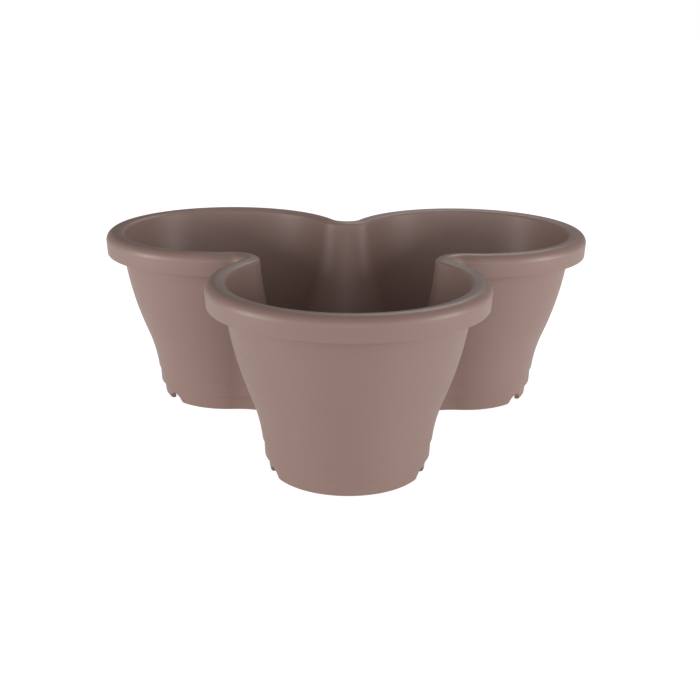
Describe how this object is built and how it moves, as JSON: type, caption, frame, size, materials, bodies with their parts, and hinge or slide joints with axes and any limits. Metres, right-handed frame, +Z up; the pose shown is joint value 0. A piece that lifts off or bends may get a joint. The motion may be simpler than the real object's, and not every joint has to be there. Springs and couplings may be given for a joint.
{
  "type": "stacking planter tier",
  "caption": "Tier of a stacking vertical planter: thin plastic tub of round bowls in a clover plan, with a turned-down rim, notched foot, loose drain grates and plugs.",
  "frame": {"origin": "on the ground plane, at the centre of the tub's outline", "axes": "+Z up; +X across the width, towards the right bowl's side; -Y towards the front bowl, so the tub's middle axis lies 28.4 mm behind the origin"},
  "size_m": [0.3968, 0.3705, 0.141],
  "materials": {
    "tub": "taupe moulded plastic with a soft satin surface",
    "grate": "dark grey moulded plastic",
    "plug": "black soft rubber"
  },
  "bodies": {
    "tub": {"tub": "tub"},
    "front_grate": {"front_grate": "grate"},
    "right_grate": {"right_grate": "grate"},
    "left_grate": {"left_grate": "grate"},
    "front_plug": {"front_plug": "plug"},
    "right_plug": {"right_plug": "plug"},
    "left_plug": {"left_plug": "plug"}
  },
  "joints": [
    {"name": "front_grate_lift", "type": "slide", "parent": "tub", "child": "front_grate", "axis": [0, 0, 1], "range_m": [0, 0.14]},
    {"name": "right_grate_lift", "type": "slide", "parent": "tub", "child": "right_grate", "axis": [0, 0, 1], "range_m": [0, 0.14]},
    {"name": "left_grate_lift", "type": "slide", "parent": "tub", "child": "left_grate", "axis": [0, 0, 1], "range_m": [0, 0.14]},
    {"name": "front_plug_lift", "type": "slide", "parent": "tub", "child": "front_plug", "axis": [0, 0, 1], "range_m": [0, 0.14]},
    {"name": "right_plug_lift", "type": "slide", "parent": "tub", "child": "right_plug", "axis": [0, 0, 1], "range_m": [0, 0.14]},
    {"name": "left_plug_lift", "type": "slide", "parent": "tub", "child": "left_plug", "axis": [0, 0, 1], "range_m": [0, 0.14]}
  ]
}
